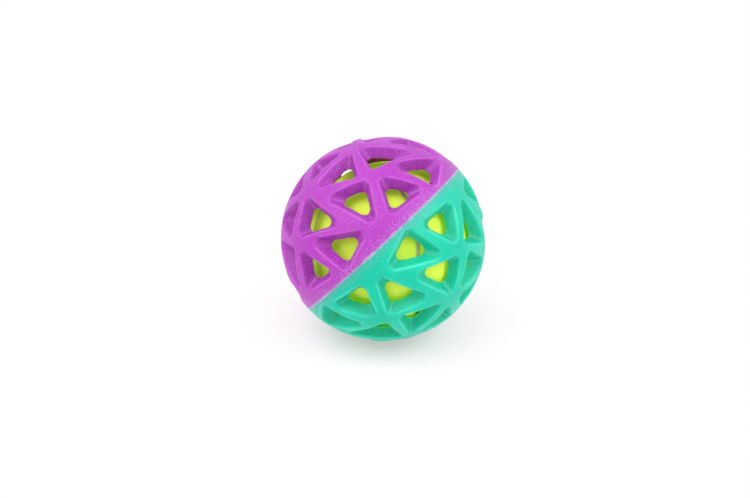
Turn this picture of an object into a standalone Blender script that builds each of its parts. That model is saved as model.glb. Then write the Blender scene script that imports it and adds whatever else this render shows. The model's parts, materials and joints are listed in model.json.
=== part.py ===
# Squeaky dog ball: a two-tone rubber lattice cage with a loose felt ball inside,
# and a reed squeaker in the wall of that ball. Metres, +Z up, standing on z = 0.
import math

import bmesh
import bpy
from mathutils import Matrix, Vector

NAME = "squeaky_dog_ball"

# Clearances
FIT_GAP = 0.0003        # between pieces that are bonded or pushed together
REST_GAP = 0.0003       # between the felt ball and the cage rib that it lies against

# Meshing
SMOOTH_ANGLE = 35       # degrees between faces that still look smooth
MERGE_DISTANCE = 0.00001
ROUND_STEPS = 24

# Felt ball
BALL_DIAMETER = 0.067
FELT_THICKNESS = 0.0026
CORE_WALL = 0.0032
CORE_RINGS = 6
SEAM_WIDTH = 0.0014
SEAM_RECESS = 0.0007    # how far the seam strip lies below the felt
SEAM_WAVE = 0.25        # share of the seam's third harmonic, which makes the dog-bone panels
SEAM_STATIONS = 72
FELT_STEPS = 36
BALL_HEADING = 20.3     # degrees about its own upright axis, which the seam runs round
BALL_TILT = 23.0        # degrees that this axis leans back

# Cage
BALL_PLAY = 0.0033      # radial room for the ball to roll about in
CAGE_WALL = 0.0052
LAP_HEIGHT = 0.0024     # tongue of one half inside the rim of the other
CAGE_STEPS = 40
CAGE_RINGS = 9

# Lattice of each half: five-fold pockets, each a triangle of (colatitude, azimuth) in degrees
FOLDS = 5
POCKETS = {
    "crown": ((5.5, 9), (28.5, 39), (28.5, -20)),
    "shoulder": ((36, -18.5), (33.5, 38.5), (52.5, 16)),
    "long": ((47, -12), (57.5, 19), (81.5, 2)),
    "slant": ((34.5, -26), (67.5, -11.5), (55, -47)),
    "rim_left": ((60, 24.5), (84.5, 38.5), (82, 10.5)),
    "rim_right": ((60.5, 35.5), (79, 69.5), (88, 44)),
}
POCKET_DRAFT = 2.4      # degrees that each pocket wall leans in from the radius, through the wall
POCKET_CORNER = 0.0020  # radius of a pocket's corners
CORNER_STEPS = 3
PLUG_TOP = 0.0047       # how far the plug that cuts a pocket stands out of the wall
PLUG_FOOT = 0.0019      # and how far it passes inside it
HALF_TURN = 14.4        # degrees that the lower half is turned about the pole

# How the ball stands and where the loose ball has rolled to
RESTING_POCKET = "slant"
RESTING_FOLD = 2
CAGE_HEADING = -76.8    # degrees about the vertical
BALL_LEAN = 57.6        # degrees from straight down
BALL_LEAN_HEADING = -21.7

# Squeaker, pushed through the lower wall of the felt ball's core
BARREL_DIAMETER = 0.0110
BARREL_WALL = 0.0012
BARREL_LENGTH = 0.0180
FLANGE_DIAMETER = 0.0170
FLANGE_THICKNESS = 0.0016
VENT_DIAMETER = 0.0050
VENT_STEPS = 12
REED_LENGTH = 0.0110
REED_WIDTH = 0.0042
REED_THICKNESS = 0.0004
REED_GRIP = 0.0030      # length of the reed's root, held between seat and clamp
REED_SWING = 0.0007     # room for the reed over its seat and under its clamp
CHANNEL_WIDTH = 0.0026
CHANNEL_DEPTH = 0.0016

ball_radius = BALL_DIAMETER / 2
felt_inner_radius = ball_radius - FELT_THICKNESS
core_radius = felt_inner_radius - FIT_GAP
core_inner_radius = core_radius - CORE_WALL
cage_inner_radius = ball_radius + BALL_PLAY
cage_radius = cage_inner_radius + CAGE_WALL
bore_radius = BARREL_DIAMETER / 2 - BARREL_WALL
reed_unit_radius = bore_radius - FIT_GAP


def start_scene():
    for old in list(bpy.data.objects):
        bpy.data.objects.remove(old, do_unlink=True)
    collections = []
    for name in (NAME, NAME + "_cutters"):
        collection = bpy.data.collections.new(name)
        bpy.context.scene.collection.children.link(collection)
        collections.append(collection)
    return collections


def linear(channel):
    if channel <= 0.04045:
        return channel / 12.92
    return ((channel + 0.055) / 1.055) ** 2.4


def material(name, colour, roughness):
    made = bpy.data.materials.new(name)
    made.use_nodes = True
    shader = made.node_tree.nodes["Principled BSDF"]
    red, green, blue = (linear(int(colour[i:i + 2], 16) / 255) for i in (0, 2, 4))
    shader.inputs["Base Color"].default_value = (red, green, blue, 1)
    shader.inputs["Roughness"].default_value = roughness
    shader.inputs["Metallic"].default_value = 0
    made.diffuse_color = (red, green, blue, 1)
    return made


def add_empty(name, matrix, parent=None):
    empty = bpy.data.objects.new(name, None)
    parts.objects.link(empty)
    empty.parent = parent
    empty.matrix_local = matrix
    return empty


def add_part(name, mesh, finish, parent):
    part = bpy.data.objects.new(name, mesh)
    parts.objects.link(part)
    part.parent = parent
    mesh.materials.clear()
    mesh.materials.append(finish)
    mesh.shade_smooth()
    mesh.set_sharp_from_angle(angle=math.radians(SMOOTH_ANGLE))
    return part


def add_cutter(name, mesh, parent=None):
    cutter = bpy.data.objects.new(name, mesh)
    cutters.objects.link(cutter)
    cutter.parent = parent
    cutter.hide_render = True
    cutter.display_type = "WIRE"
    return cutter


def mesh_from(bm, name):
    bmesh.ops.recalc_face_normals(bm, faces=bm.faces)
    mesh = bpy.data.meshes.new(name)
    bm.to_mesh(mesh)
    bm.free()
    return mesh


def profile_mesh(name, points, closed=False):
    mesh = bpy.data.meshes.new(name)
    edges = [(i, i + 1) for i in range(len(points) - 1)]
    if closed:
        edges.append((len(points) - 1, 0))
    mesh.from_pydata([(radius, 0, height) for radius, height in points], edges, [])
    return mesh


def add_screw(part, steps):
    screw = part.modifiers.new("turn", "SCREW")
    screw.axis = "Z"
    screw.steps = steps
    screw.render_steps = steps
    screw.use_merge_vertices = True
    screw.merge_threshold = MERGE_DISTANCE


def add_cut(part, cutter):
    boolean = part.modifiers.new(cutter.name, "BOOLEAN")
    boolean.operation = "DIFFERENCE"
    boolean.object = cutter
    boolean.solver = "EXACT"


def evaluated_mesh(source):
    # A plain mesh of the object with its modifiers, after which the object goes
    bpy.context.view_layer.update()
    graph = bpy.context.evaluated_depsgraph_get()
    mesh = bpy.data.meshes.new_from_object(source.evaluated_get(graph))
    bpy.data.objects.remove(source, do_unlink=True)
    return mesh


def arc(radius, start_height, end_height, rings):
    # Points on a circle about the origin, from one height to another, in (radius, height)
    start = math.asin(start_height / radius)
    end = math.asin(end_height / radius)
    angles = [start + (end - start) * i / rings for i in range(rings + 1)]
    return [(radius * math.cos(a), radius * math.sin(a)) for a in angles]


def direction(colatitude, azimuth):
    colatitude = math.radians(colatitude)
    azimuth = math.radians(azimuth)
    across = math.sin(colatitude)
    return Vector((across * math.cos(azimuth), across * math.sin(azimuth), math.cos(colatitude)))


def pocket_corners(pocket, fold):
    turn = 360 / FOLDS * fold
    return [direction(colatitude, azimuth + turn) for colatitude, azimuth in POCKETS[pocket]]


def inward_normals(corners):
    # Normals of the planes through the centre and each side, pointing into the pocket
    middle = sum(corners, Vector())
    normals = []
    for i, corner in enumerate(corners):
        normal = corner.cross(corners[(i + 1) % len(corners)]).normalized()
        normals.append(normal if normal.dot(middle) > 0 else -normal)
    return normals


def inside_corner(corner, before, after, offset):
    # Direction near a corner that lies at one angle inside both sides that meet there
    sine = math.sin(offset)
    across = (before + after) * (sine / (1 + before.dot(after)))
    along = before.cross(after).normalized()
    along *= math.sqrt(1 - across.length_squared)
    return across + along if along.dot(corner) > 0 else across - along


def pocket_ring(corners, inset, round_angle):
    # Directions round a pocket's outline, drawn in by an angle, with its corners rounded
    normals = inward_normals(corners)
    ring = []
    for i, corner in enumerate(corners):
        before, after = normals[i - 1], normals[i]
        centre = inside_corner(corner, before, after, inset + round_angle)
        start = -(before - centre * before.dot(centre)).normalized()
        sweep = start.rotation_difference(-(after - centre * after.dot(centre)).normalized())
        for step in range(CORNER_STEPS + 1):
            turn = Matrix.Rotation(sweep.angle * step / CORNER_STEPS, 3, sweep.axis)
            ring.append(centre * math.cos(round_angle) + turn @ start * math.sin(round_angle))
    return ring


def pocket_cutter_mesh():
    # Every pocket of one half as a tapered plug that passes through the wall
    draft = math.radians(POCKET_DRAFT)
    round_angle = POCKET_CORNER / cage_radius
    bm = bmesh.new()
    for pocket in POCKETS:
        for fold in range(FOLDS):
            corners = pocket_corners(pocket, fold)
            caps = []
            for depth in (-PLUG_TOP, CAGE_WALL + PLUG_FOOT):
                ring = pocket_ring(corners, draft * depth / CAGE_WALL, round_angle)
                verts = [bm.verts.new(way * (cage_radius - depth)) for way in ring]
                caps.append(bm.faces.new(verts))
            edges = [edge for cap in caps for edge in cap.edges]
            bmesh.ops.bridge_loops(bm, edges=edges)
    return mesh_from(bm, "pocket_plugs")


def half_cage_profile(tongue):
    # One half in (radius, height), down its outside, over the lap and back up its inside
    half_gap = FIT_GAP / 2
    step_radius = cage_radius - CAGE_WALL / 2
    if tongue:
        step_radius -= half_gap
        lap_end = half_gap - LAP_HEIGHT
    else:
        step_radius += half_gap
        lap_end = half_gap + LAP_HEIGHT
    points = arc(cage_radius, cage_radius, half_gap, CAGE_RINGS)
    points += [(step_radius, half_gap), (step_radius, lap_end)]
    points += arc(cage_inner_radius, lap_end, cage_inner_radius, CAGE_RINGS)
    points[0] = (0, cage_radius)
    points[-1] = (0, cage_inner_radius)
    return points


def rest_direction():
    # Centre of the circle that touches the resting pocket's three sides, in the cage's frame
    one, two, three = inward_normals(pocket_corners(RESTING_POCKET, RESTING_FOLD))
    sides = Matrix((one, two, three))
    centre = sides.inverted() @ Vector((1, 1, 1))
    height = math.sqrt(1 - 1 / centre.length_squared)
    return lower_half_turn() @ centre.normalized(), height


def lower_half_turn():
    return Matrix.Rotation(math.pi, 3, "X") @ Matrix.Rotation(math.radians(HALF_TURN), 3, "Z")


def build_cage():
    down, height = rest_direction()
    align = down.rotation_difference(Vector((0, 0, -1))).to_matrix()
    turn = Matrix.Rotation(math.radians(CAGE_HEADING), 3, "Z") @ align
    centre = Vector((0, 0, cage_radius * height))
    frame = add_empty("cage_frame", Matrix.LocRotScale(centre, turn, None))
    lower = add_empty("lower_half_frame", lower_half_turn().to_4x4(), frame)
    plugs = pocket_cutter_mesh()
    halves = (
        ("purple_half_cage", frame, False, material("purple_thermoplastic_rubber", "BF54CE", 0.55)),
        ("teal_half_cage", lower, True, material("teal_thermoplastic_rubber", "33D3B0", 0.55)),
    )
    for name, parent, tongue, finish in halves:
        half = add_part(name, profile_mesh(name, half_cage_profile(tongue)), finish, parent)
        add_screw(half, CAGE_STEPS)
        add_cut(half, add_cutter(name + "_pockets", plugs, parent))
    return centre


def seam_direction(angle):
    # Closed seam curve of a two-panel ball: it lies on the unit sphere for any share
    first = 1 - SEAM_WAVE
    return Vector((
        first * math.cos(angle) + SEAM_WAVE * math.cos(3 * angle),
        first * math.sin(angle) - SEAM_WAVE * math.sin(3 * angle),
        2 * math.sqrt(first * SEAM_WAVE) * math.sin(2 * angle),
    ))


def seam_strip_mesh(name, width, inner_radius, outer_radius):
    # Strip of rectangular section along the whole seam
    bm = bmesh.new()
    turn = 2 * math.pi / SEAM_STATIONS
    stations = []
    for i in range(SEAM_STATIONS):
        out = seam_direction(turn * i)
        along = seam_direction(turn * (i + 0.5)) - seam_direction(turn * (i - 0.5))
        aside = along.cross(out).normalized() * width / 2
        places = (
            out * outer_radius - aside,
            out * outer_radius + aside,
            out * inner_radius + aside,
            out * inner_radius - aside,
        )
        stations.append([bm.verts.new(place) for place in places])
    for i, here in enumerate(stations):
        there = stations[(i + 1) % SEAM_STATIONS]
        for k in range(len(here)):
            bm.faces.new((here[k], here[k - 1], there[k - 1], there[k]))
    return mesh_from(bm, name)


def felt_shell_mesh():
    # Hollow ball of felt: an outer surface and an inner one that faces the core
    bm = bmesh.new()
    for radius in (felt_inner_radius, ball_radius):
        bmesh.ops.reverse_faces(bm, faces=bm.faces)
        bmesh.ops.create_uvsphere(
            bm, u_segments=FELT_STEPS, v_segments=FELT_STEPS // 2, radius=radius)
    mesh = bpy.data.meshes.new("felt_shell")
    bm.to_mesh(mesh)
    bm.free()
    return mesh


def vent_cutter_mesh():
    bm = bmesh.new()
    radius = VENT_DIAMETER / 2
    bmesh.ops.create_cone(
        bm, cap_ends=True, segments=VENT_STEPS, radius1=radius, radius2=radius,
        depth=BALL_DIAMETER, matrix=Matrix.Translation((0, 0, -ball_radius)))
    return mesh_from(bm, "vent")


def island_meshes(mesh):
    # Splits a mesh into its connected bodies
    bm = bmesh.new()
    bm.from_mesh(mesh)
    left = set(bm.verts)
    islands = []
    while left:
        island = set()
        front = [min(left, key=lambda vert: vert.index)]
        while front:
            vert = front.pop()
            if vert not in island:
                island.add(vert)
                front += [edge.other_vert(vert) for edge in vert.link_edges]
        left -= island
        islands.append([vert.index for vert in island])
    bm.free()
    meshes = []
    for island in islands:
        kept = set(island)
        bm = bmesh.new()
        bm.from_mesh(mesh)
        others = [vert for vert in bm.verts if vert.index not in kept]
        bmesh.ops.delete(bm, geom=others, context="VERTS")
        meshes.append(mesh_from(bm, "felt_panel"))
    return meshes


def build_felt(frame):
    groove_width = SEAM_WIDTH + 2 * FIT_GAP
    shell = bpy.data.objects.new("felt_shell", felt_shell_mesh())
    parts.objects.link(shell)
    groove = seam_strip_mesh(
        "seam_groove", groove_width, core_inner_radius, ball_radius + FELT_THICKNESS)
    add_cut(shell, add_cutter("seam_groove", groove))
    add_cut(shell, add_cutter("vent", vent_cutter_mesh()))
    felt = material("yellow_green_felt", "C6DE46", 0.95)
    for letter, mesh in zip("ab", island_meshes(evaluated_mesh(shell))):
        add_part("felt_panel_" + letter, mesh, felt, frame)
    seam = seam_strip_mesh(
        "felt_seam", SEAM_WIDTH, felt_inner_radius, ball_radius - SEAM_RECESS)
    add_part("felt_seam", seam, material("grey_seam_rubber", "C9C9BE", 0.8), frame)


def core_half_profile(hole_radius):
    # A cup in (radius, height) with a flat rim, open at the crown where there is a hole
    rim = FIT_GAP / 2
    outer_top = math.sqrt(core_radius ** 2 - hole_radius ** 2)
    inner_top = math.sqrt(core_inner_radius ** 2 - hole_radius ** 2)
    points = arc(core_radius, outer_top, rim, CORE_RINGS)
    points += arc(core_inner_radius, rim, inner_top, CORE_RINGS)
    points[0] = (hole_radius, outer_top)
    points[-1] = (hole_radius, inner_top)
    return points


def build_core(frame, vent_frame):
    rubber = material("black_core_rubber", "3A3A38", 0.7)
    hole_radius = BARREL_DIAMETER / 2 + FIT_GAP
    halves = (
        ("core_half_plain", frame, 0),
        ("core_half_vented", vent_frame, hole_radius),
    )
    for name, parent, hole in halves:
        cup = profile_mesh(name, core_half_profile(hole), closed=hole > 0)
        add_screw(add_part(name, cup, rubber, parent), ROUND_STEPS)


def build_sleeve(frame, seat_height):
    # Flanged tube: the flange bears on the core from inside, the barrel stands in its hole
    outer = BARREL_DIAMETER / 2
    flange = FLANGE_DIAMETER / 2
    top = core_radius - FIT_GAP
    bottom = seat_height - FLANGE_THICKNESS
    foot = top - BARREL_LENGTH
    profile = [
        (outer, top), (outer, seat_height), (flange, seat_height), (flange, bottom),
        (outer, bottom), (outer, foot), (bore_radius, foot), (bore_radius, top),
    ]
    white = material("white_polyethylene", "ECEAE2", 0.4)
    tube = profile_mesh("squeaker_sleeve", profile, closed=True)
    add_screw(add_part("squeaker_sleeve", tube, white, frame), ROUND_STEPS)
    return foot


def half_round_mesh(name, cut_height, side, low, high):
    # Part of a rod along Z that lies beyond a plane, on one side of it
    bm = bmesh.new()
    middle = Matrix.Translation((0, 0, (low + high) / 2))
    bmesh.ops.create_cone(
        bm, cap_ends=True, segments=ROUND_STEPS, radius1=reed_unit_radius,
        radius2=reed_unit_radius, depth=high - low, matrix=middle)
    cut = bmesh.ops.bisect_plane(
        bm, geom=bm.verts[:] + bm.edges[:] + bm.faces[:], plane_co=(0, cut_height, 0),
        plane_no=(0, -side, 0), clear_outer=True)
    edges = [item for item in cut["geom_cut"] if isinstance(item, bmesh.types.BMEdge)]
    bmesh.ops.contextual_create(bm, geom=edges)
    return mesh_from(bm, name)


def box_mesh(name, low, high):
    bm = bmesh.new()
    low, high = Vector(low), Vector(high)
    size = Matrix.Diagonal((high - low).to_4d())
    size[3][3] = 1
    bmesh.ops.create_cube(bm, size=1, matrix=Matrix.Translation((low + high) / 2) @ size)
    return mesh_from(bm, name)


def build_reed_unit(frame, foot):
    # Half-round seat and clamp hold the root of a thin reed, which beats over the seat's channel
    top = foot + REED_LENGTH + REED_GRIP
    free_low = foot + REED_GRIP
    half_reed = REED_THICKNESS / 2
    held = half_reed + FIT_GAP
    free = half_reed + REED_SWING
    reach = 2 * reed_unit_radius
    cream = material("cream_polyethylene", "E6DFC8", 0.45)
    seat = add_part("reed_seat", half_round_mesh("reed_seat", -held, -1, foot, top), cream, frame)
    clamp = add_part("reed_clamp", half_round_mesh("reed_clamp", held, 1, foot, top), cream, frame)
    channel_half = CHANNEL_WIDTH / 2
    channel = box_mesh(
        "reed_channel", (-channel_half, -held - CHANNEL_DEPTH, free_low),
        (channel_half, reach, top + reach))
    add_cut(seat, add_cutter("reed_channel", channel, frame))
    relief = box_mesh("seat_relief", (-reach, -free, free_low), (reach, 0, top + reach))
    add_cut(seat, add_cutter("seat_relief", relief, frame))
    relief = box_mesh("clamp_relief", (-reach, 0, free_low), (reach, free, top + reach))
    add_cut(clamp, add_cutter("clamp_relief", relief, frame))
    root = add_empty("reed_root", Matrix.Translation((0, 0, free_low)), frame)
    tongue = box_mesh(
        "reed", (-REED_WIDTH / 2, -half_reed, -REED_GRIP),
        (REED_WIDTH / 2, half_reed, REED_LENGTH - REED_GRIP))
    add_part("reed", tongue, material("clear_polyester", "E9E6D2", 0.2), root)


def build_ball(cage_centre):
    lean = math.radians(BALL_LEAN)
    heading = math.radians(BALL_LEAN_HEADING)
    way = Vector((
        math.sin(lean) * math.cos(heading), math.sin(lean) * math.sin(heading), -math.cos(lean)))
    centre = cage_centre + way * (BALL_PLAY - REST_GAP)
    turn = Matrix.Rotation(math.radians(BALL_HEADING), 4, "Z")
    tilt = Matrix.Rotation(math.radians(-BALL_TILT), 4, "X")
    frame = add_empty("ball_frame", Matrix.Translation(centre) @ tilt @ turn)
    vent_frame = add_empty("vent_frame", Matrix.Rotation(math.pi, 4, "X"), frame)
    build_felt(frame)
    build_core(frame, vent_frame)
    flange = FLANGE_DIAMETER / 2
    seat_height = math.sqrt(core_inner_radius ** 2 - flange ** 2) - FIT_GAP
    foot = build_sleeve(vent_frame, seat_height)
    build_reed_unit(vent_frame, foot)


parts, cutters = start_scene()
build_ball(build_cage())
bpy.context.view_layer.update()
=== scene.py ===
# Squeaky dog ball: two moulded rubber lattice halves round a loose felt ball
import json
import math
import random

import bmesh
import bpy
from mathutils import Matrix, Vector, kdtree, noise


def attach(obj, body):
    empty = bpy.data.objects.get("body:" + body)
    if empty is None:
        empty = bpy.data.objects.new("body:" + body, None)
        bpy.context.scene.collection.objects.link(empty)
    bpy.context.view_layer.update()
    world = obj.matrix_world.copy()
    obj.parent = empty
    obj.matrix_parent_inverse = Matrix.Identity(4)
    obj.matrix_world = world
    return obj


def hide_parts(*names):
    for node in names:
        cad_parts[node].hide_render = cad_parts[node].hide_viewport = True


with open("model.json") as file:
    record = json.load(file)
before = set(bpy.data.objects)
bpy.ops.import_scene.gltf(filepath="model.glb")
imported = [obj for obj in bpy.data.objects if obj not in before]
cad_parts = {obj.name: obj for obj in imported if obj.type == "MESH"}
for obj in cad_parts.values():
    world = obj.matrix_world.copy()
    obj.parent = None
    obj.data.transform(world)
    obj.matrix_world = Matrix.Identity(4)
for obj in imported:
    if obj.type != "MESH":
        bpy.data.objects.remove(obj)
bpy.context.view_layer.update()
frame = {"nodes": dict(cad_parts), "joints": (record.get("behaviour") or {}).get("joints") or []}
jointSpots = {joint["name"]: Vector(joint["pos_m"]) for joint in frame["joints"]}
print("frame loaded:", len(frame["nodes"]), "nodes")


def linearColour(text):
    colour = []
    for i in (0, 2, 4):
        part = int(text[i:i + 2], 16) / 255
        colour.append(part / 12.92 if part <= 0.04045 else ((part + 0.055) / 1.055) ** 2.4)
    return (*colour, 1)


def addNode(tree, kind, settings=None, **sockets):
    node = tree.nodes.new(kind)
    for name, value in (settings or {}).items():
        setattr(node, name, value)
    for name, value in sockets.items():
        socket = node.inputs[int(name[1:])] if name[1:].isdigit() else node.inputs[name.replace("_", " ")]
        if isinstance(value, bpy.types.NodeSocket):
            tree.links.new(value, socket)
        else:
            socket.default_value = value
    return node


def newMaterial(name):
    material = bpy.data.materials.new(name)
    material.use_nodes = True
    tree = material.node_tree
    tree.nodes.clear()
    shader = tree.nodes.new("ShaderNodeBsdfPrincipled")
    output = tree.nodes.new("ShaderNodeOutputMaterial")
    tree.links.new(shader.outputs["BSDF"], output.inputs["Surface"])
    spot = tree.nodes.new("ShaderNodeTexCoord").outputs["Object"]
    return material, tree, shader, spot


def addPiece(name, mesh, material):
    piece = bpy.data.objects.new(name, mesh)
    bpy.context.scene.collection.objects.link(piece)
    mesh.materials.clear()
    mesh.materials.append(material)
    mesh.shade_smooth()
    return piece


def bakedMesh(holder):  # the mesh with its modifiers, and the helper object goes
    bpy.context.view_layer.update()
    graph = bpy.context.evaluated_depsgraph_get()
    mesh = bpy.data.meshes.new_from_object(
        holder.evaluated_get(graph), preserve_all_data_layers=True, depsgraph=graph)
    bpy.data.objects.remove(holder, do_unlink=True)
    return mesh


def helperObject(name, bm):
    mesh = bpy.data.meshes.new(name)
    bm.to_mesh(mesh)
    bm.free()
    holder = bpy.data.objects.new(name, mesh)
    bpy.context.scene.collection.objects.link(holder)
    return holder


def vertsOf(geometry):
    return [item for item in geometry if isinstance(item, bmesh.types.BMVert)]


def edgesOf(geometry):
    return [item for item in geometry if isinstance(item, bmesh.types.BMEdge)]


# Lattice cage
cage = {
    "radius": 0.042,
    "wall": 0.0052,
    "skin": 0.00013,  # drawn in by this much, because the facets of the CAD lie inside its radius
    "folds": 5,
    "windows": {  # corners of each window, as (from the pole, round the pole) in degrees
        "crown": ((5.5, 9), (28.5, 39), (28.5, -20)),
        "shoulder": ((36, -18.5), (33.5, 38.5), (52.5, 16)),
        "long": ((47, -12), (57.5, 19), (81.5, 2)),
        "slant": ((34.5, -26), (67.5, -11.5), (55, -47)),
        "rimLeft": ((60, 24.5), (84.5, 38.5), (82, 10.5)),
        "rimRight": ((60.5, 35.5), (79, 69.5), (88, 44)),
    },
    "draft": 3.2,  # degrees the windows' sides lean in, 0.8 over the CAD because softening opens the holes
    "rimCorner": 0.0022,
    "holeCorner": 0.0020,
    "cornerShare": 0.45,  # most of a side that one round corner may take
    "cornerSteps": 8,
    "lineSteps": 18,
    "sideCuts": 8,
    "plugTop": 0.0030,
    "plugFoot": 0.0008,
    "arcSteps": 110,
    "turnSteps": 260,
    "skirt": 5,  # degrees past the joint line, cut off after the softening
    "voxel": 0.00046,
    "softAll": 3,
    "softRims": 4,
    "rimsFrom": 0.0398,
    "insideTo": 0.0380,  # the holes' inner edges are softened as the rims are
    "wallFrom": 0.0005,  # depth at which a window's wall starts to count as inside
    "wallBlend": 0.0010,
    "jointGap": 0.0001,
    "keep": 0.7,  # share of the triangles, the flat places give up the rest
    "halfTurn": 14.4,
    "restWindow": ("slant", 2),
    "heading": -76.8,
}


def wayTo(colatitude, azimuth):
    down, turn = math.radians(colatitude), math.radians(azimuth)
    return Vector((math.sin(down) * math.cos(turn), math.sin(down) * math.sin(turn), math.cos(down)))


def windowCorners(window, fold):
    turn = 360 / cage["folds"] * fold
    return [wayTo(colatitude, azimuth + turn) for colatitude, azimuth in cage["windows"][window]]


def windowSides(corners):  # planes through the centre, each facing into the window
    middle = sum(corners, Vector())
    sides = [corner.cross(corners[(i + 1) % 3]).normalized() for i, corner in enumerate(corners)]
    return [side if side.dot(middle) > 0 else -side for side in sides]


def drawnIn(corner, before, after, angle):  # the corner, moved in from both of its sides
    across = (before + after) * (math.sin(angle) / (1 + before.dot(after)))
    along = before.cross(after).normalized() * math.sqrt(1 - across.length_squared)
    return across + along if along.dot(corner) > 0 else across - along


def sideSpots(start, end):  # points along a side, without its ends
    return [start.lerp(end, cut / cage["sideCuts"]) for cut in range(1, cage["sideCuts"])]


def windowRing(corners, depth):  # outline at this depth, with true round corners, and the middles of these
    sides = windowSides(corners)
    share = depth / cage["wall"]
    angle = math.radians(cage["draft"]) * share
    ring = [drawnIn(corner, sides[i - 1], sides[i], angle) for i, corner in enumerate(corners)]
    ring = [way * (cage["radius"] - depth) for way in ring]
    radius = cage["rimCorner"] + (cage["holeCorner"] - cage["rimCorner"]) * share
    outline, middles = [], []
    for i, spot in enumerate(ring):
        one, two = ring[i - 1] - spot, ring[(i + 1) % 3] - spot
        half = one.angle(two) / 2
        most = cage["cornerShare"]
        slide = min(radius / math.tan(half), most * one.length, most * two.length)
        bow = slide * math.tan(half)
        inward = (one.normalized() + two.normalized()).normalized()
        centre = spot + inward * (bow / math.sin(half))
        start, end = spot + one.normalized() * slide - centre, spot + two.normalized() * slide - centre
        if outline:
            outline += sideSpots(outline[-1], centre + start)
        for step in range(cage["cornerSteps"] + 1):
            outline.append(centre + start.slerp(end, step / cage["cornerSteps"]).normalized() * bow)
        middles.append(centre - inward * bow)
    outline += sideSpots(outline[-1], outline[0])
    level = cage["radius"] - depth  # sides follow the ball, as great circles
    return [spot.normalized() * level for spot in outline], [spot.normalized() * level for spot in middles]


def addPlug(bm, corners):
    rings = []
    for depth in (-cage["plugTop"], cage["wall"] + cage["plugFoot"]):
        outline = windowRing(corners, depth)[0]
        rings.append([bm.verts.new(spot) for spot in outline])
        bm.faces.new(rings[-1])
    top, foot = rings
    for i in range(len(top)):
        bm.faces.new((top[i - 1], top[i], foot[i], foot[i - 1]))


def cornerHighlightLines():  # points down the windows' rounded corners, where a thin painted highlight runs
    spots = []
    for window in cage["windows"]:
        for fold in range(cage["folds"]):
            for step in range(cage["lineSteps"]):
                depth = cage["wall"] * step / (cage["lineSteps"] - 1)
                spots += windowRing(windowCorners(window, fold), depth)[1]
    tree = kdtree.KDTree(len(spots))
    for i, spot in enumerate(spots):
        tree.insert(spot, i)
    tree.balance()
    return tree


def windowPlugs():
    bm = bmesh.new()
    for window in cage["windows"]:
        for fold in range(cage["folds"]):
            plug = bmesh.new()
            addPlug(plug, windowCorners(window, fold))
            caps = [face for face in plug.faces if len(face.verts) > 4]
            bmesh.ops.poke(plug, faces=caps)
            bmesh.ops.recalc_face_normals(plug, faces=plug.faces)
            mesh = bpy.data.meshes.new("plug")
            plug.to_mesh(mesh)
            plug.free()
            bm.from_mesh(mesh)
            bpy.data.meshes.remove(mesh)
    return helperObject("windowPlugs", bm)


def plainShell():
    bm = bmesh.new()
    sweep = math.radians(90 + cage["skirt"])
    outside = cage["radius"] - cage["skin"]
    top = bm.verts.new((0, 0, outside))
    outer = bmesh.ops.spin(
        bm, geom=[top], cent=(0, 0, 0), axis=(0, 1, 0), angle=sweep, steps=cage["arcSteps"])
    rim = bmesh.ops.extrude_vert_indiv(bm, verts=vertsOf(outer["geom_last"]))["verts"][0]
    rim.co *= (cage["radius"] - cage["wall"]) / outside
    bmesh.ops.spin(bm, geom=[rim], cent=(0, 0, 0), axis=(0, 1, 0), angle=-sweep, steps=cage["arcSteps"])
    bmesh.ops.spin(
        bm, geom=bm.verts[:] + bm.edges[:], cent=(0, 0, 0), axis=(0, 0, 1), angle=2 * math.pi,
        steps=cage["turnSteps"], use_merge=True)
    bmesh.ops.remove_doubles(bm, verts=bm.verts, dist=0.00001)
    bmesh.ops.recalc_face_normals(bm, faces=bm.faces)
    return helperObject("plainShell", bm)


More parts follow.
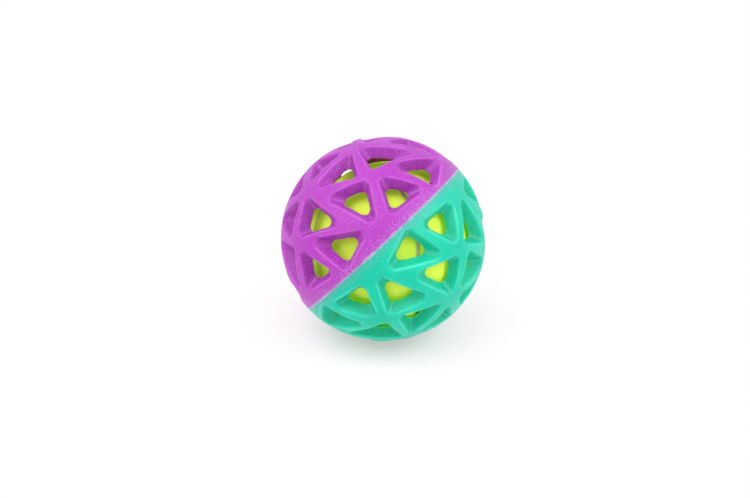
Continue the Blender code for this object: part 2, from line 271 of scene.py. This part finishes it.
def softLattice():
    shell, plugs = plainShell(), windowPlugs()
    cut = shell.modifiers.new("windows", "BOOLEAN")
    cut.operation, cut.object, cut.solver = "DIFFERENCE", plugs, "EXACT"
    voxels = shell.modifiers.new("voxels", "REMESH")
    voxels.mode, voxels.voxel_size, voxels.adaptivity = "VOXEL", cage["voxel"], 0
    mesh = bakedMesh(shell)
    bpy.data.objects.remove(plugs, do_unlink=True)
    bm = bmesh.new()
    bm.from_mesh(mesh)
    axes = {"use_axis_x": True, "use_axis_y": True, "use_axis_z": True}
    for _ in range(cage["softAll"]):
        bmesh.ops.smooth_vert(bm, verts=bm.verts, factor=0.5, **axes)
    rims = [vert for vert in bm.verts if not cage["insideTo"] < vert.co.length < cage["rimsFrom"]]
    for _ in range(cage["softRims"]):
        bmesh.ops.smooth_vert(bm, verts=rims, factor=0.5, **axes)
    joint = bmesh.ops.bisect_plane(
        bm, geom=bm.verts[:] + bm.edges[:] + bm.faces[:], plane_co=(0, 0, cage["jointGap"] / 2),
        plane_no=(0, 0, 1), clear_inner=True)
    bmesh.ops.bridge_loops(bm, edges=edgesOf(joint["geom_cut"]))
    bmesh.ops.recalc_face_normals(bm, faces=bm.faces)
    bend = bm.verts.layers.float.new("edgeBend")  # over 0 on an edge, under 0 in a crease
    seam = bm.verts.layers.float.new("jointLine")  # height over the joint line, in mm
    wall = bm.verts.layers.float.new("windowWall")  # 1 inside the windows, 0 on the outside
    corner = bm.verts.layers.float.new("cornerHighlight")  # distance from the painted highlight line down a window's corner, in mm
    highlightLines = cornerHighlightLines()
    bm.normal_update()
    for vert in bm.verts:
        around = [edge.other_vert(vert).co for edge in vert.link_edges]
        mean = sum(around, Vector()) / len(around)
        vert[bend] = (vert.co - mean).dot(vert.normal) / cage["voxel"]
        vert[seam] = vert.co.z * 1000
        inside = (cage["radius"] - vert.co.length - cage["wallFrom"]) / cage["wallBlend"]
        vert[wall] = min(1, max(0, inside))
        vert[corner] = highlightLines.find(vert.co)[2] * 1000
    bpy.data.meshes.remove(mesh)
    fine = helperObject("softLattice", bm)
    fewer = fine.modifiers.new("fewer", "DECIMATE")
    fewer.ratio = cage["keep"]
    return bakedMesh(fine)


def lowerTurn():
    return Matrix.Rotation(math.pi, 4, "X") @ Matrix.Rotation(math.radians(cage["halfTurn"]), 4, "Z")


def cagePlace():  # lying on the rim of one window, as the CAD has it
    one, two, three = windowSides(windowCorners(*cage["restWindow"]))
    centre = Matrix((one, two, three)).inverted() @ Vector((1, 1, 1))
    lift = cage["radius"] * math.sqrt(1 - 1 / centre.length_squared)
    down = lowerTurn().to_3x3() @ centre.normalized()
    level = down.rotation_difference(Vector((0, 0, -1))).to_matrix()
    turn = Matrix.Rotation(math.radians(cage["heading"]), 3, "Z") @ level
    return Matrix.LocRotScale(Vector((0, 0, lift)), turn, None)


# Thermoplastic rubber from a spark-eroded mould: a matt, faintly clear body with a sandy grain
purpleRubber = {
    "name": "purpleThermoplasticRubber",
    "body": "B83CC2", "deep": "A62CB0", "dark": "861A90", "pale": "ECB4F4",
    "glow": (1, 0.35, 0.9), "soak": 0.65, "soakMm": 3, "grain": 1, "wallPaintedShade": 0.25,
    "stain": "00CEB2", "stained": 0.04}
tealRubber = {
    "name": "tealThermoplasticRubber",
    "body": "00CEB2", "deep": "00BE9E", "dark": "00AC86", "pale": "BCF6E8",
    "glow": (0.3, 1, 0.7), "soak": 1, "soakMm": 8, "grain": 0.6, "wallPaintedShade": 0.2,
    "stain": "B83CC2", "stained": 0.12}
rubber = {
    "grainMm": 0.42,  # real grain is about 0.2 mm, drawn coarser so that it shows
    "grainOutside": 0.16,  # the grain is worn on the outside and fresh in the windows
    "grainInside": 0.22,
    "frostAndSheen": 0.36,  # grain stronger beside the joint line, partly moulding frost and partly a painted sheen
    "frostAndSheenMm": 6,
    "stainMm": 4,  # the other half's colour, run over the joint line
    "mottleMm": 9,
    "speckBand": (0.48, 0.68),  # of the grain's height
    "pitBand": (0.48, 0.3),
    "highlightLineMm": (0.75, 0.3),  # painted highlight down the corners of the windows
    "line": 0.1,
    # painted highlight on the rounded rims
    "rimHighlightBand": (0.02, 0.07),
    "edge": 0.13,
    "jointMm": 0.8,
    "joint": 0.6,
    "raggedMm": 3,
    "raggedBy": 0.3,  # mm to each side
    "noiseBand": (0.3, 0.7),  # most of a noise lies in here
    "bump": 0.6,
    "bumpDepth": 0.0002,
    "roughness": 0.4,
    "roughSpread": 0.08,
    "ior": 1.49,
    "specular": 0.32,
}


def rubberMaterial(colours):
    material, tree, shader, spot = newMaterial(colours["name"])

    def spread(value, start, end, top):  # 0 at the start, rising to the top at the end
        return addNode(
            tree, "ShaderNodeMapRange", {"interpolation_type": "SMOOTHSTEP"}, Value=value,
            From_Min=start, From_Max=end, To_Min=0.0, To_Max=top).outputs["Result"]

    def tint(share, under, over):
        return addNode(
            tree, "ShaderNodeMix", {"data_type": "RGBA"}, _0=share, _6=under, _7=over).outputs[2]

    def cloud(size, detail):
        return addNode(
            tree, "ShaderNodeTexNoise", Vector=spot, Scale=1000 / size, Detail=detail,
            Roughness=0.58).outputs["Fac"]

    def drawn(name):
        return addNode(tree, "ShaderNodeAttribute", {"attribute_name": name}).outputs["Fac"]

    pale, dark = linearColour(colours["pale"]), linearColour(colours["dark"])
    body = tint(cloud(rubber["mottleMm"], 3.0), linearColour(colours["deep"]), linearColour(colours["body"]))
    runOver = spread(drawn("jointLine"), rubber["stainMm"], 0.0, colours["stained"])
    mixed = tint(runOver, body, linearColour(colours["stain"]))
    grain, bend = cloud(rubber["grainMm"], 2.0), drawn("edgeBend")
    fresh = addNode(
        tree, "ShaderNodeMapRange", Value=drawn("windowWall"),
        To_Min=rubber["grainOutside"] * colours["grain"],
        To_Max=rubber["grainInside"] * colours["grain"]).outputs["Result"]
    # partly painted sheen: the grain's pale specks and dark pits grow beside the joint line
    frostedAndSheened = addNode(
        tree, "ShaderNodeMath", {"operation": "ADD"}, _0=fresh,
        _1=spread(drawn("jointLine"), rubber["frostAndSheenMm"], 0.0, rubber["frostAndSheen"] * colours["grain"])).outputs[0]
    shaded = tint(spread(drawn("windowWall"), 0.0, 1.0, colours["wallPaintedShade"]), mixed, dark)  # painted shade: the windows' walls and the cage's inside darkened, as the ribs shade them
    specked = tint(spread(grain, *rubber["speckBand"], frostedAndSheened), shaded, pale)
    pitted = tint(spread(grain, *rubber["pitBand"], frostedAndSheened), specked, dark)
    # painted highlight: a pale line down the windows' rounded corners
    cornerHighlighted = tint(spread(drawn("cornerHighlight"), *rubber["highlightLineMm"], rubber["line"]), pitted, pale)
    # painted highlight: the rounded rims paled where they bend outwards
    rimHighlighted = tint(spread(bend, *rubber["rimHighlightBand"], rubber["edge"]), cornerHighlighted, pale)
    low, high = rubber["noiseBand"]
    wobble = addNode(
        tree, "ShaderNodeMapRange", Value=cloud(rubber["raggedMm"], 2.0), From_Min=low, From_Max=high,
        To_Min=-rubber["raggedBy"], To_Max=rubber["raggedBy"])
    ragged = addNode(
        tree, "ShaderNodeMath", {"operation": "ADD"}, _0=drawn("jointLine"), _1=wobble.outputs["Result"])
    lined = tint(spread(ragged.outputs[0], rubber["jointMm"], 0.0, rubber["joint"]), rimHighlighted, pale)
    bump = addNode(
        tree, "ShaderNodeBump", Strength=rubber["bump"], Distance=rubber["bumpDepth"], Height=grain)
    rough = addNode(
        tree, "ShaderNodeMapRange", Value=grain, From_Min=low, From_Max=high,
        To_Min=rubber["roughness"] + rubber["roughSpread"],
        To_Max=rubber["roughness"] - rubber["roughSpread"])
    tree.links.new(lined, shader.inputs["Base Color"])
    tree.links.new(bump.outputs["Normal"], shader.inputs["Normal"])
    tree.links.new(rough.outputs["Result"], shader.inputs["Roughness"])
    shader.inputs["IOR"].default_value = rubber["ior"]
    shader.inputs["Specular IOR Level"].default_value = rubber["specular"]
    shader.inputs["Subsurface Weight"].default_value = colours["soak"]
    shader.inputs["Subsurface Radius"].default_value = colours["glow"]
    shader.inputs["Subsurface Scale"].default_value = colours["soakMm"] / 1000
    return material


def buildCage():
    lattice = softLattice()
    place = cagePlace()
    halves = (
        ("purpleHalf", "purple_half_cage", "purple_rubber", purpleRubber, place),
        ("tealHalf", "teal_half_cage", "teal_rubber", tealRubber, place @ lowerTurn()),
    )
    for name, node, slot, colours, matrix in halves:
        mesh = lattice.copy()
        mesh.name = name
        mesh.transform(matrix)
        half = addPiece(name, mesh, rubberMaterial(colours))
        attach(half, "cage")
        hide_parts(node)
    bpy.data.meshes.remove(lattice)
    print("cage halves:", len(half.data.vertices), "points each")


buildCage()


# Felt ball: two dog-bone panels with a nap, and the rubber seam between them
felt = {
    "radius": 0.0334,  # 0.1 mm under the CAD, so that the nap stays clear of the cage
    "inside": 0.03085,
    "splits": 7,
    "groove": 0.0017,
    "rollDepth": 0.0004,
    "rollWidth": 0.0010,
    "lumps": 0.00012,
    "lumpMm": 2.2,
    "tufts": 0.00010,
    "tuftMm": 0.8,
    "fibres": 3000,
    "fibreBase": 0.00016,
    "fibreLift": 0.00014,
    "fibreLean": 0.00055,
    "liftSpread": (0.4, 1),
    "leanSpread": (0.3, 1),
    "fibreTaper": (0.6, 0.15),
    "sharpFrom": 0.8,  # radians, keeps the roots of the hairs out of the skin's smooth shading
    "vent": 0.0025,
    "heading": 20.3,
    "tilt": 23,
    "trim": 0.006,  # of the radius, points this near the cut stay and are moved on to it
    "seed": 11,
}
seam = {
    "depth": 0.00085, "top": 0.0331, "points": 160, "sides": 3,
    "leastSlope": 0.3,  # keeps the distance from the seam finite in the middle of a panel
    "low": "C0BC92", "high": "E4E0C6", "dustMm": 0.9, "rough": 0.8}


def seamWay(angle):
    cosine, sine = math.cos(angle), math.sin(angle)
    return Vector((cosine ** 3, sine ** 3, math.sqrt(3) * sine * cosine))


def seamReach(way):  # distance from the seam along the ball, under 0 on the second panel, and the way off it
    level = way.z ** 3 - 3 * math.sqrt(3) * way.x * way.y
    slope = Vector((-3 * math.sqrt(3) * way.y, -3 * math.sqrt(3) * way.x, 3 * way.z ** 2))
    slope -= way * slope.dot(way)
    steep = max(slope.length, seam["leastSlope"])
    return level / steep * felt["radius"], slope / steep


def ventReach(way):
    return math.hypot(way.x, way.y) * felt["radius"] if way.z < 0 else felt["radius"]


def feltPanel(name, side):
    bm = bmesh.new()
    bmesh.ops.create_icosphere(bm, subdivisions=felt["splits"], radius=felt["radius"])
    spare = felt["radius"] * felt["trim"]
    edge = felt["groove"] / 2
    gone = []
    for vert in bm.verts:
        way = vert.co.normalized()
        if seamReach(way)[0] * side < edge - spare or ventReach(way) < felt["vent"] - spare:
            gone.append(vert)
    bmesh.ops.delete(bm, geom=gone, context="VERTS")
    for vert in [vert for vert in bm.verts if vert.is_boundary]:
        way = vert.co.normalized()
        if ventReach(way) < felt["vent"] + 3 * spare:
            flat = Vector((way.x, way.y, 0)).normalized() * felt["vent"]
            vert.co = Vector((flat.x, flat.y, -math.sqrt(felt["radius"] ** 2 - felt["vent"] ** 2)))
        else:
            reach, off = seamReach(way)
            way = (way + off * ((edge * side - reach) / felt["radius"])).normalized()
            vert.co = way * felt["radius"]
    skin = bm.faces[:]
    bmesh.ops.solidify(bm, geom=skin, thickness=felt["radius"] - felt["inside"])
    inner = {vert for vert in bm.verts if vert.co.length < (felt["radius"] + felt["inside"]) / 2}
    for vert in bm.verts:
        way = vert.co.normalized()
        if vert in inner:
            vert.co = way * felt["inside"]
            continue
        near = min(1, max(0, (abs(seamReach(way)[0]) - edge) / felt["rollWidth"]))
        height = felt["radius"] - felt["rollDepth"] * (1 - near) ** 2
        height += felt["lumps"] * noise.noise(vert.co * 1000 / felt["lumpMm"])
        height += felt["tufts"] * noise.noise(vert.co * 1000 / felt["tuftMm"])
        vert.co = way * height
    growFibres(bm, [face for face in bm.faces if not any(vert in inner for vert in face.verts)], side)
    bmesh.ops.recalc_face_normals(bm, faces=bm.faces)
    for edge in bm.edges:
        edge.smooth = edge.calc_face_angle(0) < felt["sharpFrom"]
    mesh = bpy.data.meshes.new(name)
    bm.to_mesh(mesh)
    bm.free()
    return mesh


def growFibres(bm, skin, side):  # short hairs, drawn out of the skin itself
    draw = random.Random(felt["seed"] + side)
    roots = draw.sample(skin, felt["fibres"])
    bmesh.ops.inset_individual(bm, faces=roots, thickness=felt["fibreBase"] / 2)
    for share in felt["fibreTaper"]:
        grown = bmesh.ops.extrude_discrete_faces(bm, faces=roots)["faces"]
        for face in grown:
            middle = face.calc_center_median()
            way = middle.normalized()
            lean = way.cross(Vector((draw.gauss(0, 1), draw.gauss(0, 1), draw.gauss(0, 1)))).normalized()
            rise = way * felt["fibreLift"] * draw.uniform(*felt["liftSpread"])
            step = rise + lean * felt["fibreLean"] * draw.uniform(*felt["leanSpread"])
            for vert in face.verts:
                vert.co = middle + (vert.co - middle) * share + step
        roots = grown


def seamMesh():
    curve = bpy.data.curves.new("seamLine", "CURVE")
    curve.dimensions = "3D"
    curve.bevel_depth = seam["depth"]
    curve.bevel_resolution = seam["sides"]
    line = curve.splines.new("POLY")
    line.points.add(seam["points"] - 1)
    for i, point in enumerate(line.points):
        spot = seamWay(2 * math.pi * i / seam["points"]) * (seam["top"] - seam["depth"])
        point.co = (*spot, 1)
    line.use_cyclic_u = True
    holder = bpy.data.objects.new("seamLine", curve)
    bpy.context.scene.collection.objects.link(holder)
    return bakedMesh(holder)


# Needled wool and nylon felt: fibres scatter light, so it is matt with a pale bloom at grazing angles
feltLook = {
    "low": "EAF438", "high": "F4FA5E", "cloudMm": 4,
    "fleck": "F6FBA6", "fleckBand": (0.45, 0.8), "flecked": 0.6,
    "napMm": 0.7,  # tufts, the single fibres are too fine to show
    "paintedGlowColour": "90F01A", "paintedGlowStrength": 0.22,  # painted glow: an emission that keeps the felt bright in the shade, standing in for its fluorescent dye
    "sheen": 0.25, "sheenRough": 0.5, "bloom": "F2F7B0",
    "rough": 0.95, "ior": 1.45, "bump": 0.6, "bumpDepth": 0.0003}


def feltMaterial():
    material, tree, shader, spot = newMaterial("yellowGreenFelt")
    cloud = addNode(
        tree, "ShaderNodeTexNoise", Vector=spot, Scale=1000 / feltLook["cloudMm"], Detail=4.0, Roughness=0.6)
    nap = addNode(
        tree, "ShaderNodeTexNoise", Vector=spot, Scale=1000 / feltLook["napMm"], Detail=3.0, Roughness=0.7,
        Distortion=1.2)
    base = addNode(
        tree, "ShaderNodeMix", {"data_type": "RGBA"}, _0=cloud.outputs["Fac"],
        _6=linearColour(feltLook["low"]), _7=linearColour(feltLook["high"]))
    fleck = addNode(
        tree, "ShaderNodeMapRange", Value=nap.outputs["Fac"], From_Min=feltLook["fleckBand"][0],
        From_Max=feltLook["fleckBand"][1], To_Min=0.0, To_Max=feltLook["flecked"])
    colour = addNode(
        tree, "ShaderNodeMix", {"data_type": "RGBA"}, _0=fleck.outputs["Result"],
        _6=base.outputs[2], _7=linearColour(feltLook["fleck"]))
    bump = addNode(
        tree, "ShaderNodeBump", Strength=feltLook["bump"], Distance=feltLook["bumpDepth"],
        Height=nap.outputs["Fac"])
    tree.links.new(colour.outputs[2], shader.inputs["Base Color"])
    tree.links.new(bump.outputs["Normal"], shader.inputs["Normal"])
    shader.inputs["Roughness"].default_value = feltLook["rough"]
    shader.inputs["IOR"].default_value = feltLook["ior"]
    # painted glow: the felt emits light of its own
    shader.inputs["Emission Color"].default_value = linearColour(feltLook["paintedGlowColour"])
    shader.inputs["Emission Strength"].default_value = feltLook["paintedGlowStrength"]
    shader.inputs["Sheen Weight"].default_value = feltLook["sheen"]
    shader.inputs["Sheen Roughness"].default_value = feltLook["sheenRough"]
    shader.inputs["Sheen Tint"].default_value = linearColour(feltLook["bloom"])
    return material


# Vulcanised seam rubber: chalky, with fine dust in its pores
def seamMaterial():
    material, tree, shader, spot = newMaterial("greySeamRubber")
    dust = addNode(
        tree, "ShaderNodeTexNoise", Vector=spot, Scale=1000 / seam["dustMm"], Detail=3.0, Roughness=0.6)
    colour = addNode(
        tree, "ShaderNodeMix", {"data_type": "RGBA"}, _0=dust.outputs["Fac"],
        _6=linearColour(seam["low"]), _7=linearColour(seam["high"]))
    bump = addNode(tree, "ShaderNodeBump", Strength=0.4, Distance=0.0002, Height=dust.outputs["Fac"])
    tree.links.new(colour.outputs[2], shader.inputs["Base Color"])
    tree.links.new(bump.outputs["Normal"], shader.inputs["Normal"])
    shader.inputs["Roughness"].default_value = seam["rough"]
    return material


def buildFeltBall():
    place = Matrix.Translation(jointSpots["ball_spin"])
    place @= Matrix.Rotation(math.radians(-felt["tilt"]), 4, "X")
    place @= Matrix.Rotation(math.radians(felt["heading"]), 4, "Z")
    cloth = feltMaterial()
    pieces = [
        ("seamBead", seamMesh(), seamMaterial(), "felt_seam", "seam_rubber"),
        ("feltOne", feltPanel("feltOne", 1), cloth, "felt_panel_a", "felt"),
        ("feltTwo", feltPanel("feltTwo", -1), cloth, "felt_panel_b", "felt"),
    ]
    for name, mesh, material, node, slot in pieces:
        mesh.transform(place)
        piece = addPiece(name, mesh, material)
        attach(piece, "ball")
        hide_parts(node)
        print(name + ":", len(mesh.polygons), "faces")


buildFeltBall()


# Hidden pieces keep their CAD shape and get their real materials
hidden = {
    "blackCoreRubber": {  # pressed from filled rubber, dull and slightly pitted
        "low": "2B2B29", "high": "45443F", "grainMm": 1.2, "rough": 0.75, "ior": 1.52,
        "nodes": ("core_half_plain", "core_half_vented")},
    "whitePolyethylene": {  # moulded, waxy and milky
        "low": "E2E0D6", "high": "F2F0EA", "grainMm": 3, "rough": 0.4, "ior": 1.51,
        "nodes": ("squeaker_sleeve",)},
    "creamPolyethylene": {  # moulded, waxy
        "low": "DCD3B6", "high": "EBE4CE", "grainMm": 3, "rough": 0.45, "ior": 1.51,
        "nodes": ("reed_seat", "reed_clamp")},
    "polyesterFilm": {  # rolled film, smooth and glossy
        "low": "DDD9C2", "high": "EFECDD", "grainMm": 2, "rough": 0.18, "ior": 1.64,
        "nodes": ("reed",)},
}


def dressHidden():
    for name, look in hidden.items():
        material, tree, shader, spot = newMaterial(name)
        cloud = addNode(
            tree, "ShaderNodeTexNoise", Vector=spot, Scale=1000 / look["grainMm"], Detail=3.0, Roughness=0.6)
        colour = addNode(
            tree, "ShaderNodeMix", {"data_type": "RGBA"}, _0=cloud.outputs["Fac"],
            _6=linearColour(look["low"]), _7=linearColour(look["high"]))
        bump = addNode(tree, "ShaderNodeBump", Strength=0.2, Distance=0.0001, Height=cloud.outputs["Fac"])
        tree.links.new(colour.outputs[2], shader.inputs["Base Color"])
        tree.links.new(bump.outputs["Normal"], shader.inputs["Normal"])
        shader.inputs["Roughness"].default_value = look["rough"]
        shader.inputs["IOR"].default_value = look["ior"]
        for node in look["nodes"]:
            mesh = frame["nodes"][node].data
            mesh.materials.clear()
            mesh.materials.append(material)
    print("hidden pieces dressed")


dressHidden()


# Studio: white floor, a large soft box on each side and a sky that is brighter overhead
studio = {
    "floorSize": 6,
    "floor": "FCEFF5",  # faintly pink, against the green that the teal half throws on it
    "glowNear": 0.42,  # share of pure white under the ball, where its shadow shows
    "glowFar": 0.97,
    "glowSpan": (0.015, 0.065),
    "skyLow": 0.3,  # at the floor
    "skyHigh": 0.75,  # overhead
    "boxes": {
        "leftBox": {"spot": (-0.64, -0.34, 0.95), "size": 1.0, "watts": 9},
        "rightBox": {"spot": (0.72, -0.38, 0.82), "size": 0.8, "watts": 6.5},
    },
    "aim": (0, 0, 0.04),
}
camera = {
    "aim": (0, 0, 0.041511),
    "distance": 0.8358,
    "back": (0, -0.86368, 0.50404),
    "right": (0.999911, 0.006725, 0.011523),
    "up": (-0.013341, 0.503992, 0.863605),
    "lens": 98.16,
    "sensor": 36,
    "clip": (0.01, 20),
    "shift": (-0.01117, -0.0138),
}


def whiteRays(tree):  # 1 for rays that see the background itself
    rays = addNode(tree, "ShaderNodeLightPath").outputs
    seen = addNode(
        tree, "ShaderNodeMath", {"operation": "MAXIMUM"}, _0=rays["Is Camera Ray"], _1=rays["Is Glossy Ray"])
    return addNode(
        tree, "ShaderNodeMath", {"operation": "MAXIMUM"}, _0=seen.outputs[0],
        _1=rays["Is Transmission Ray"]).outputs[0]


def buildFloor():
    bm = bmesh.new()
    bmesh.ops.create_grid(bm, x_segments=2, y_segments=2, size=studio["floorSize"] / 2)
    floor = helperObject("floor", bm)
    material = bpy.data.materials.new("whitePaper")
    material.use_nodes = True
    tree = material.node_tree
    tree.nodes.clear()
    paper = addNode(tree, "ShaderNodeBsdfDiffuse", Color=linearColour(studio["floor"]))
    glow = addNode(tree, "ShaderNodeEmission", Strength=1.0)
    spot = addNode(tree, "ShaderNodeTexCoord").outputs["Object"]
    away = addNode(tree, "ShaderNodeVectorMath", {"operation": "LENGTH"}, Vector=spot)
    clear = addNode(
        tree, "ShaderNodeMapRange", {"interpolation_type": "SMOOTHSTEP"}, Value=away.outputs["Value"],
        From_Min=studio["glowSpan"][0], From_Max=studio["glowSpan"][1],
        To_Min=studio["glowNear"], To_Max=studio["glowFar"])
    share = addNode(
        tree, "ShaderNodeMath", {"operation": "MULTIPLY"}, _0=whiteRays(tree), _1=clear.outputs["Result"])
    mixed = addNode(
        tree, "ShaderNodeMixShader", _0=share.outputs[0], _1=paper.outputs[0], _2=glow.outputs[0])
    addNode(tree, "ShaderNodeOutputMaterial", Surface=mixed.outputs[0])
    floor.data.materials.append(material)


def buildSky():
    world = bpy.data.worlds.new("studioSky")
    bpy.context.scene.world = world
    world.use_nodes = True
    tree = world.node_tree
    tree.nodes.clear()
    way = addNode(tree, "ShaderNodeTexCoord").outputs["Generated"]
    height = addNode(tree, "ShaderNodeSeparateXYZ", Vector=way).outputs["Z"]
    level = addNode(
        tree, "ShaderNodeMapRange", Value=height, From_Min=0.0, From_Max=1.0,
        To_Min=studio["skyLow"], To_Max=studio["skyHigh"])
    soft = addNode(tree, "ShaderNodeBackground", Strength=level.outputs["Result"])
    white = addNode(tree, "ShaderNodeBackground", Strength=1.0)
    for shade in (soft, white):
        shade.inputs["Color"].default_value = (1, 1, 1, 1)
    mixed = addNode(
        tree, "ShaderNodeMixShader", _0=whiteRays(tree), _1=soft.outputs[0], _2=white.outputs[0])
    addNode(tree, "ShaderNodeOutputWorld", Surface=mixed.outputs[0])


def buildLights():
    for name, look in studio["boxes"].items():
        lamp = bpy.data.lights.new(name, "AREA")
        lamp.shape = "SQUARE"
        lamp.size = look["size"]
        lamp.energy = look["watts"]
        box = bpy.data.objects.new(name, lamp)
        bpy.context.scene.collection.objects.link(box)
        box.location = look["spot"]
        box.rotation_euler = (Vector(studio["aim"]) - box.location).to_track_quat("-Z", "Y").to_euler()


def buildCamera():
    lens = bpy.data.cameras.new("camera")
    lens.sensor_width = camera["sensor"]
    lens.lens = camera["lens"]
    lens.shift_x, lens.shift_y = camera["shift"]
    lens.clip_start, lens.clip_end = camera["clip"]
    view = bpy.data.objects.new("camera", lens)
    bpy.context.scene.collection.objects.link(view)
    turn = Matrix((camera["right"], camera["up"], camera["back"])).transposed()
    spot = Vector(camera["aim"]) + Vector(camera["back"]) * camera["distance"]
    view.matrix_world = Matrix.LocRotScale(spot, turn, None)
    bpy.context.scene.camera = view


buildFloor()
buildSky()
buildLights()
buildCamera()
bpy.context.scene.view_settings.view_transform = "Standard"
print("studio ready")
